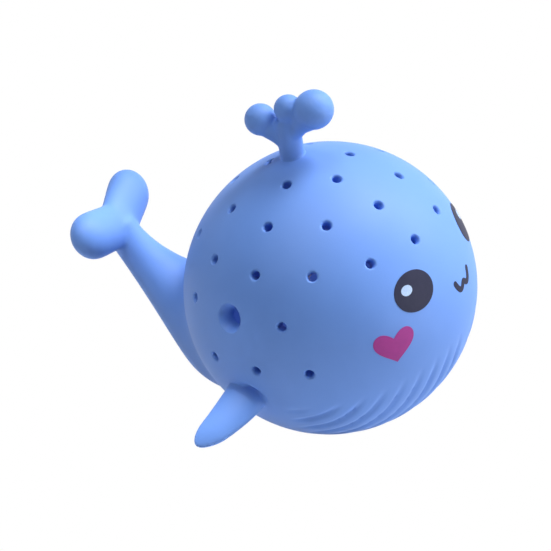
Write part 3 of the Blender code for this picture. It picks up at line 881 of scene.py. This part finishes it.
def finished(name, low, high, patch, grain, rough, bump, gloss):
    """A material from the shared group, with its own two tones, patches, grain, relief and gloss."""
    made = bpy.data.materials.new(name)
    made.use_nodes = True
    nodes, links = made.node_tree.nodes, made.node_tree.links
    shader = nodes["Principled BSDF"]
    group = nodes.new("ShaderNodeGroup")
    group.node_tree = uneven
    group.inputs["Low"].default_value = (*low, 1)
    group.inputs["High"].default_value = (*high, 1)
    group.inputs["Patch Scale"].default_value = patch
    group.inputs["Grain Scale"].default_value = grain
    group.inputs["Rough Low"].default_value, group.inputs["Rough High"].default_value = rough
    relief = nodes.new("ShaderNodeBump")
    relief.inputs["Strength"].default_value = bump
    relief.inputs["Distance"].default_value = RELIEF_DEPTH
    links.new(group.outputs["Color"], shader.inputs["Base Color"])
    links.new(group.outputs["Roughness"], shader.inputs["Roughness"])
    links.new(group.outputs["Height"], relief.inputs["Height"])
    links.new(relief.outputs["Normal"], shader.inputs["Normal"])
    shader.inputs["Specular IOR Level"].default_value = gloss
    return made


blue_rubber = finished(
    "soft blue rubber",
    low=(0.125, 0.275, 0.72),
    high=(0.150, 0.310, 0.78),
    patch=70,
    grain=2600,
    rough=(0.5, 0.62),
    bump=0.25,
    gloss=0.35,
)
dark_ink = finished("dark ink", (0.017, 0.019, 0.046), (0.025, 0.027, 0.060), patch=500, **INK_FINISH)
pale_ink = finished("pale ink", (0.20, 0.34, 0.66), (0.62, 0.76, 0.96), patch=2600, **INK_FINISH)
pink_ink = finished("pink ink", (0.315, 0.045, 0.252), (0.415, 0.055, 0.30), patch=420, **INK_FINISH)
print("materials:", [made.name for made in (blue_rubber, dark_ink, pale_ink, pink_ink)])

# %% [markdown]
# ## Riding on the frame
# The ball and its prints are hung on the shell's body. On the real toy they flatten sideways when
# the flanks are squeezed, and the tail, the spout and the flippers bend; here those three skins are
# hung on no body.


def dressed(piece, material, slot, *nodes):
    """Gives a piece its material, and hides the nodes of the frame that it stands for."""
    piece.data.materials.clear()
    piece.data.materials.append(material)
    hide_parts(*nodes)


dressed(skin, blue_rubber, "soft_blue_rubber", "body_shell")
dressed(tail, blue_rubber, "soft_blue_rubber", "tail_root", "tail_stock", "left_fluke", "right_fluke")
lobes = [f"spout_{word}_lobe" for word in ("front", "middle", "back")]
dressed(spout, blue_rubber, "soft_blue_rubber", "spout_stem", *lobes)
for word, piece in flippers.items():
    dressed(piece, blue_rubber, "soft_blue_rubber", f"{word}_flipper")
prints = (
    ("eye", dark_ink, "dark_ink"),
    ("eye_glint", pale_ink, "pale_ink"),
    ("heart", pink_ink, "pink_ink"),
)
for word in ("right", "left"):
    for kind, ink, slot in prints:
        dressed(inks[f"{word}_{kind}"], ink, slot, f"{word}_{kind}")
dressed(inks["mouth"], dark_ink, "dark_ink", "mouth")
for piece in (skin, *inks.values()):
    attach(piece, "shell")
    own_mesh(piece)
print("pieces that flatten in a squeeze:", 1 + len(inks))

# %% Skins of the bending limbs, baked in place
# Each bend starts and ends at these distances from its root, in millimetres.
TAIL_BEND, SPOUT_BEND, FLIPPER_BEND = (5, 19), (-0.2, 3.2), (-0.5, 4)


def from_level(point):
    """A point of the level ball, where it is once the whale is tipped."""
    return TIPPED @ Vector(point)


from_level(tail_section(TAIL_BEND[0] * MM)[0])
from_level(tail_section(TAIL_BEND[1] * MM)[0])
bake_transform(tail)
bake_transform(spout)
for word, side in (("right", 1), ("left", -1)):
    root = seat(FLIPPER_PLACE[0], side * FLIPPER_PLACE[1], FLIPPER_LIFT)
    out = root.to_3x3().col[2]
    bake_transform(flippers[word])
print("skins that bend:", [piece.name for piece in (tail, spout, *flippers.values())])

# %% [markdown]
# ## The studio
# The whale stands on a pale floor against white. Round soft boxes light it, the strongest from its left
# and in front, so that the flank towards the camera lies in soft shade. Two narrow lamps straight above
# reach past the ball to the near flipper and the tail. Some light soaks through the rubber and fills
# the hollow, which a very weak lamp inside stands for, so that the vents look blue and not black. The
# white that the camera sees is in the shaders of the floor and the surround, so that no extra light
# falls on the rubber.

# %% White to the camera
WHITE, WHITE_STRENGTH = (1, 1, 1, 1), 1.0


def white_to_camera(made, surface, output):
    """Shows plain white to the camera, in mirrors and through glass, and the given shader to all else."""
    nodes, links = made.node_tree.nodes, made.node_tree.links
    path = nodes.new("ShaderNodeLightPath")
    seen = nodes.new("ShaderNodeMath")
    seen.operation = "MAXIMUM"
    seen_too = nodes.new("ShaderNodeMath")
    seen_too.operation = "MAXIMUM"
    links.new(path.outputs["Is Camera Ray"], seen.inputs[0])
    links.new(path.outputs["Is Glossy Ray"], seen.inputs[1])
    links.new(seen.outputs["Value"], seen_too.inputs[0])
    links.new(path.outputs["Is Transmission Ray"], seen_too.inputs[1])
    in_world = surface.bl_idname == "ShaderNodeBackground"
    white = nodes.new("ShaderNodeBackground" if in_world else "ShaderNodeEmission")
    white.inputs["Color"].default_value = WHITE
    white.inputs["Strength"].default_value = WHITE_STRENGTH
    mix = nodes.new("ShaderNodeMixShader")
    links.new(seen_too.outputs["Value"], mix.inputs["Fac"])
    links.new(surface.outputs[0], mix.inputs[1])
    links.new(white.outputs[0], mix.inputs[2])
    links.new(mix.outputs[0], output.inputs["Surface"])


print("white to the camera:", WHITE, "at a strength of", WHITE_STRENGTH)

# %% Floor and surround
FLOOR_SIZE, FLOOR_GAP = 6.0, 0.05 * MM
FLOOR_GREY, FLOOR_ROUGHNESS = 0.8, 0.9
SURROUND_COLOUR, SURROUND_STRENGTH = (0.86, 0.92, 1.0, 1), 0.02

put_down()
bpy.ops.mesh.primitive_plane_add(size=FLOOR_SIZE, location=(0, 0, -FLOOR_GAP))
floor = bpy.context.active_object
floor.name = "studio_floor"
settle(floor)
pale = bpy.data.materials.new("pale floor")
pale.use_nodes = True
floor_shader = pale.node_tree.nodes["Principled BSDF"]
floor_shader.inputs["Base Color"].default_value = (FLOOR_GREY, FLOOR_GREY, FLOOR_GREY, 1)
floor_shader.inputs["Roughness"].default_value = FLOOR_ROUGHNESS
white_to_camera(pale, floor_shader, pale.node_tree.nodes["Material Output"])
floor.data.materials.append(pale)

world = bpy.data.worlds.new("studio")
bpy.context.scene.world = world
world.use_nodes = True
surround = world.node_tree.nodes["Background"]
surround.inputs["Color"].default_value = SURROUND_COLOUR
surround.inputs["Strength"].default_value = SURROUND_STRENGTH
white_to_camera(world, surround, world.node_tree.nodes["World Output"])
print("floor and surround:", pale.name, "and", world.name)

# %% Lights
SOFT_BOX_SIZE = 0.4
NARROW_LIGHT_HEIGHT, NARROW_LIGHT_SIZE = 0.6, 0.003
GLOW_POWER, GLOW_SIZE = 0.004, 0.004


def hung(name, lamp, place):
    """Puts a lamp at a place in the scene."""
    made = bpy.data.objects.new(name, lamp)
    bpy.context.scene.collection.objects.link(made)
    made.location = place
    return made


def soft_light(name, azimuth, elevation, power):
    """A round soft box a metre away: azimuth 0 is in front of the face and 90 is on the whale's left."""
    turn, up = math.radians(azimuth), math.radians(elevation)
    way = Vector((math.cos(up) * math.sin(turn), -math.cos(up) * math.cos(turn), math.sin(up)))
    lamp = bpy.data.lights.new(name, "AREA")
    lamp.shape = "DISK"
    lamp.size = SOFT_BOX_SIZE
    lamp.energy = power
    made = hung(name, lamp, way + Vector((0, 0, BELLY_DROP)))
    made.rotation_euler = (-way).to_track_quat("-Z", "Y").to_euler()


def narrow_light(name, place, width, power):
    """A lamp straight above a place, whose beam is as wide as given there and fades to its rim."""
    lamp = bpy.data.lights.new(name, "SPOT")
    lamp.spot_size = 2 * math.atan(width / 2 / NARROW_LIGHT_HEIGHT)
    lamp.spot_blend = 1.0
    lamp.shadow_soft_size = NARROW_LIGHT_SIZE
    lamp.energy = power
    hung(name, lamp, Vector(place) + Vector((0, 0, NARROW_LIGHT_HEIGHT)))


soft_light("high side light", azimuth=60, elevation=60, power=9.2)
soft_light("low side light", azimuth=45, elevation=30, power=5.0)
soft_light("overhead light", azimuth=180, elevation=80, power=2.9)
soft_light("back flank light", azimuth=240, elevation=60, power=1.7)
soft_light("low front light", azimuth=0, elevation=8, power=3.2)
narrow_light("flipper light", (-0.044, 0.013, 0.013), width=0.031, power=17)
narrow_light("tail light", (-0.004, 0.051, 0.030), width=0.034, power=6)

glow = bpy.data.lights.new("hollow glow", "POINT")
glow.energy = GLOW_POWER
glow.shadow_soft_size = GLOW_SIZE
hung("hollow glow", glow, (0, 0, BELLY_DROP)).visible_camera = False
print("lamps:", [lamp.name for lamp in bpy.data.lights])

# %% Camera
PHOTO_WIDTH = 551
SIDE_SHIFT = -0.8
LENS, SENSOR_WIDTH = 191.2, 36.0
CAMERA_PLACE = (-0.4978, -0.1955, 0.3999)
CAMERA_TURN = (0.9704, -0.0003, -1.1739)

camera = bpy.data.cameras.new("photo view")
camera.lens = LENS
camera.sensor_width = SENSOR_WIDTH
camera.shift_x = SIDE_SHIFT / PHOTO_WIDTH
viewer = bpy.data.objects.new("photo view", camera)
bpy.context.scene.collection.objects.link(viewer)
viewer.location = CAMERA_PLACE
viewer.rotation_euler = CAMERA_TURN
bpy.context.scene.camera = viewer
bpy.context.scene.view_settings.view_transform = "Standard"
print("camera lens:", camera.lens, "mm")
